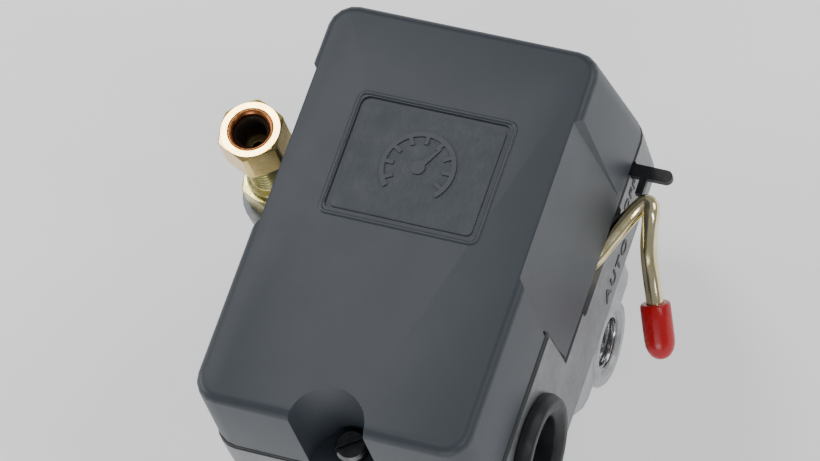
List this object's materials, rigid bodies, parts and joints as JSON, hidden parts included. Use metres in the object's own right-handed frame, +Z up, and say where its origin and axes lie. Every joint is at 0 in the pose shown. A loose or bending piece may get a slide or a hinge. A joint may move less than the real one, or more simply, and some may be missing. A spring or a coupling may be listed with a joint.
{
  "type": "pressure switch",
  "caption": "Air compressor pressure switch: deep moulded cover on a die cast base, ported manifold below, unloader valve, cable entries and an auto / off wire lever.",
  "frame": {"origin": "centre of the tank port's face, the lowest face of the manifold", "axes": "+Z up through the diaphragm and out of the cover's top face; +X towards the auto / off lever's side; +Y towards the back, away from the cable entries"},
  "size_m": [0.0965, 0.097, 0.082],
  "materials": {
    "black_plastic": "fine moulded grain, satin",
    "cast_grey": "die cast, lightly blasted",
    "cast_light": "die cast, machined port faces",
    "black_rubber": "matt moulded rubber",
    "steel": "bright zinc plated",
    "black_steel": "black finished pressed steel",
    "gold_steel": "yellow zinc plated wire and nuts",
    "brass": "turned brass, bright",
    "copper": "copper, satin",
    "red_vinyl": "dipped red vinyl, glossy",
    "phenolic": "moulded phenolic, satin"
  },
  "bodies": {
    "base": {"base_housing": "cast_grey", "port_manifold": "cast_light", "diaphragm": "black_rubber", "cable_grommet_right": "black_rubber", "cable_grommet_left": "black_rubber", "manifold_screw_1": "steel", "manifold_screw_2": "steel", "manifold_screw_3": "steel", "manifold_screw_4": "steel", "rocker_pin": "steel", "range_stud": "steel", "range_spring": "steel", "range_spring_plate": "steel", "differential_stud": "steel", "differential_spring": "steel", "differential_spring_plate": "steel", "terminal_screw_1": "steel", "terminal_screw_2": "steel", "terminal_screw_3": "steel", "terminal_screw_4": "steel", "carrier_pin": "steel", "toggle_spring": "steel", "lever_spacer": "steel", "lever_pivot_pin": "steel", "valve_spring": "steel", "lever_bracket": "black_steel", "terminal_plate_1": "brass", "terminal_plate_2": "brass", "terminal_plate_3": "brass", "terminal_plate_4": "brass", "earth_screw": "brass", "valve_body": "brass", "valve_lock_nut": "brass", "valve_seat": "brass", "ferrule": "copper", "terminal_block": "phenolic"},
    "rocker": {"rocker": "black_steel"},
    "piston": {"piston": "steel"},
    "valve_pin": {"valve_pin": "steel"},
    "contact_carrier": {"contact_carrier": "phenolic", "contact_bridge_1": "copper", "contact_bridge_2": "copper"},
    "lever": {"on_off_lever": "gold_steel", "lever_tip": "red_vinyl"},
    "tube_nut": {"tube_nut": "brass"},
    "range_nut": {"range_nut": "gold_steel"},
    "differential_nut": {"differential_nut": "gold_steel"},
    "cover": {"cover": "black_plastic"},
    "cover_screw": {"cover_screw": "steel"}
  },
  "joints": [
    {"name": "rocker_hinge", "type": "hinge", "parent": "base", "child": "rocker", "pos_m": [0, 0.029, 0.0322], "axis": [-1, 0, 0], "range_deg": [0, 2.5], "stiffness_Nm_per_rad": 1, "springref_deg": -1.15, "deforming": ["range_spring", "differential_spring", "toggle_spring"]},
    {"name": "piston_lift", "type": "slide", "parent": "base", "child": "piston", "axis": [0, 0, 1], "range_m": [0, 0.0013]},
    {"name": "valve_pin_lift", "type": "slide", "parent": "base", "child": "valve_pin", "axis": [0, 0, 1], "range_m": [0, 0.00095], "deforming": ["valve_spring"]},
    {"name": "carrier_hinge", "type": "hinge", "parent": "base", "child": "contact_carrier", "pos_m": [0, -0.024, 0.046], "axis": [-1, 0, 0], "range_deg": [0, 12.1]},
    {"name": "lever_swing", "type": "hinge", "parent": "base", "child": "lever", "pos_m": [0.02, -0.003, 0.0411], "axis": [0, 0, -1], "range_deg": [0, 25]},
    {"name": "tube_nut_turn", "type": "hinge", "parent": "base", "child": "tube_nut", "pos_m": [-0.0421, 0.0081, 0.063], "axis": [0, 0, 1], "continuous": true},
    {"name": "range_nut_turn", "type": "hinge", "parent": "base", "child": "range_nut", "pos_m": [0, -0.0135, 0.066], "axis": [0, 0, 1], "continuous": true},
    {"name": "differential_nut_turn", "type": "hinge", "parent": "base", "child": "differential_nut", "pos_m": [0, 0.016, 0.0516], "axis": [0, 0, 1], "continuous": true},
    {"name": "cover_lift", "type": "slide", "parent": "base", "child": "cover", "axis": [0, 0, 1], "range_m": [0, 0.045]},
    {"name": "cover_screw_turn", "type": "hinge", "parent": "cover", "child": "cover_screw", "pos_m": [0, -0.0518, 0.062], "axis": [0, 0, 1], "continuous": true}
  ],
  "couplings": [
    {"joint": "piston_lift", "follows": "rocker_hinge", "m_per_rad": 0.029},
    {"joint": "valve_pin_lift", "follows": "rocker_hinge", "m_per_rad": 0.0209},
    {"joint": "carrier_hinge", "follows": "rocker_hinge", "ratio": 4.8}
  ]
}
